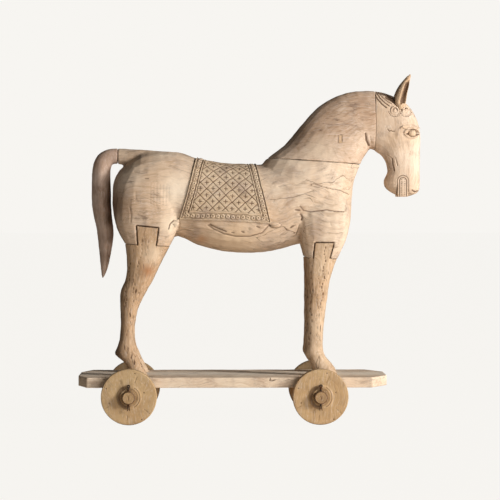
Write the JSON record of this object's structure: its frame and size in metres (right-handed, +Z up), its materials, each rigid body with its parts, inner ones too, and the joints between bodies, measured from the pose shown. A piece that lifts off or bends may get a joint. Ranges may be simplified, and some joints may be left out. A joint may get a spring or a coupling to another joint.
{
  "type": "carved wooden horse on a wheeled board",
  "caption": "Carved pale wooden horse standing on a long board with turned axles, plain wooden wheels held by split pins, and a tail that bends down behind.",
  "frame": {"origin": "on the ground, under the middle of the whole object", "axes": "+X is the way the horse faces, +Y is its left side, +Z is up"},
  "size_m": [0.752, 0.2822, 0.76],
  "materials": {
    "board_wood": "bleached, unvarnished, worn",
    "axle_wood": "bleached, unvarnished, worn",
    "wheel_wood": "bleached, unvarnished, worn",
    "leg_wood": "bleached, unvarnished, worn",
    "body_wood": "bleached, unvarnished, worn",
    "neck_wood": "bleached, unvarnished, worn",
    "head_wood": "bleached, unvarnished, worn",
    "ear_wood": "bleached, unvarnished, worn",
    "tail_wood": "bleached, unvarnished, worn",
    "plug_wood": "bleached, unvarnished, worn",
    "dowel_wood": "plain",
    "steel_wire": "dark, lightly rusted",
    "steel_screw": "dull"
  },
  "bodies": {
    "horse_on_board": {"base_board": "board_wood", "front_axle": "axle_wood", "rear_axle": "axle_wood", "axle_washers": "axle_wood", "split_pins": "steel_wire", "axle_screws": "steel_screw", "hoof_screws": "steel_screw", "hoof_dowels": "dowel_wood", "leg_front_right": "leg_wood", "leg_front_left": "leg_wood", "leg_rear_right": "leg_wood", "leg_rear_left": "leg_wood", "body_lower": "body_wood", "body_upper": "body_wood", "neck": "neck_wood", "neck_dowels": "dowel_wood", "neck_plug": "plug_wood", "head": "head_wood", "head_dowels": "dowel_wood", "ear_right": "ear_wood", "ear_left": "ear_wood", "tail": "tail_wood", "tail_dowel": "dowel_wood"},
    "wheel_front_right": {"wheel_front_right": "wheel_wood"},
    "wheel_front_left": {"wheel_front_left": "wheel_wood"},
    "wheel_rear_right": {"wheel_rear_right": "wheel_wood"},
    "wheel_rear_left": {"wheel_rear_left": "wheel_wood"}
  },
  "joints": [
    {"name": "wheel_front_right_spin", "type": "hinge", "parent": "horse_on_board", "child": "wheel_front_right", "pos_m": [0.149, -0.116, 0.06], "axis": [0, 1, 0], "continuous": true},
    {"name": "wheel_front_left_spin", "type": "hinge", "parent": "horse_on_board", "child": "wheel_front_left", "pos_m": [0.149, 0.116, 0.06], "axis": [0, 1, 0], "continuous": true},
    {"name": "wheel_rear_right_spin", "type": "hinge", "parent": "horse_on_board", "child": "wheel_rear_right", "pos_m": [-0.263, -0.116, 0.06], "axis": [0, 1, 0], "continuous": true},
    {"name": "wheel_rear_left_spin", "type": "hinge", "parent": "horse_on_board", "child": "wheel_rear_left", "pos_m": [-0.263, 0.116, 0.06], "axis": [0, 1, 0], "continuous": true}
  ]
}
